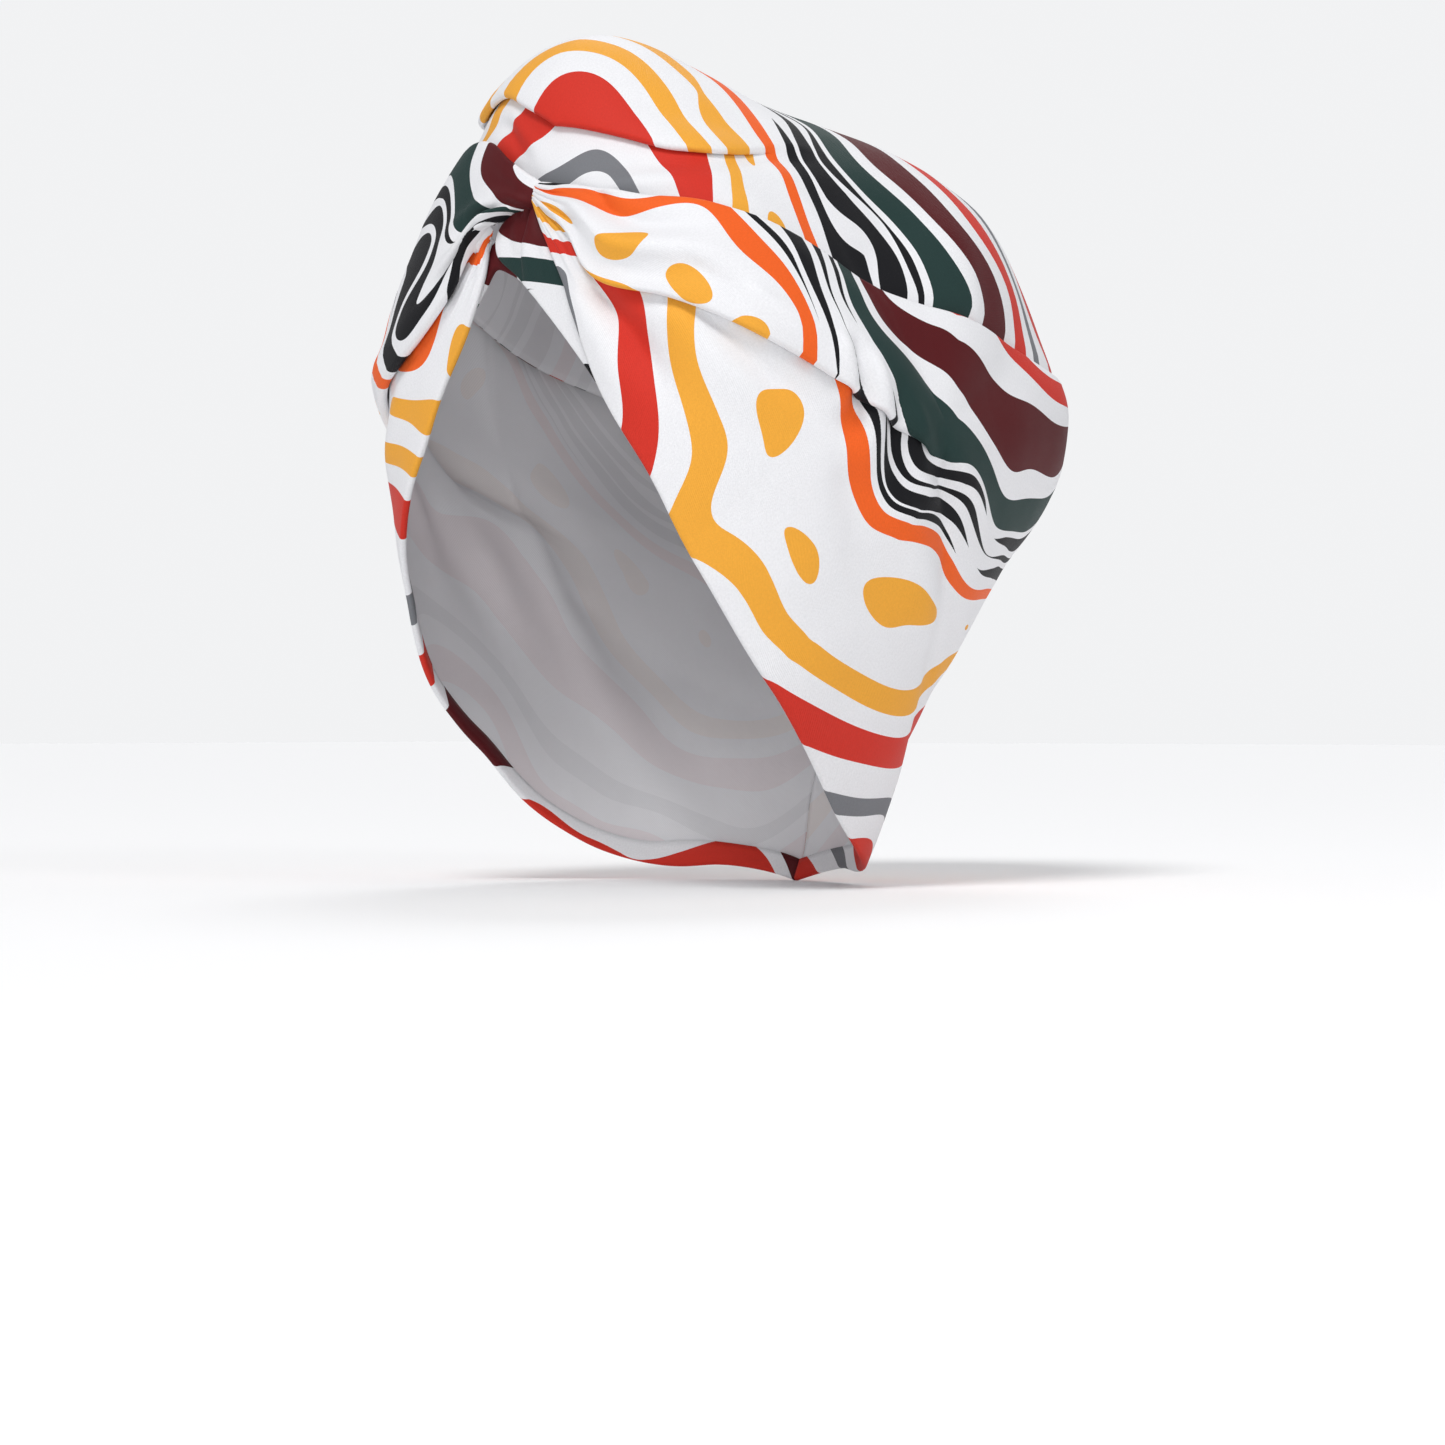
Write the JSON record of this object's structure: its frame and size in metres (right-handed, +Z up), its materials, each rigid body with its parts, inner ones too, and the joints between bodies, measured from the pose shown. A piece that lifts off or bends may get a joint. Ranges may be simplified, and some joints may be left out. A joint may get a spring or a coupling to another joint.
{
  "type": "turban headwrap",
  "caption": "Soft turban headwrap as worn: a full cap over the crown, wide pleated drapes from a twist above the forehead to the nape, in a wavy striped print.",
  "frame": {"origin": "the point inside the cap that rests on the top of the wearer's head", "axes": "+Z up, the wearer faces -Y, the wearer's left is +X"},
  "size_m": [0.1817, 0.2037, 0.2482],
  "materials": {
    "printed_cloth_crown": "satin twill, wavy striped print on white",
    "printed_cloth_left_drape": "satin twill, wavy striped print on white",
    "printed_cloth_right_drape": "satin twill, wavy striped print on white",
    "printed_cloth_twist_over_fold": "satin twill, wavy striped print on white",
    "printed_cloth_twist_under_fold": "satin twill, wavy striped print on white"
  },
  "bodies": {
    "root": {"crown": "printed_cloth_crown", "left_drape": "printed_cloth_left_drape", "right_drape": "printed_cloth_right_drape", "twist_over_fold": "printed_cloth_twist_over_fold", "twist_under_fold": "printed_cloth_twist_under_fold"}
  },
  "joints": []
}
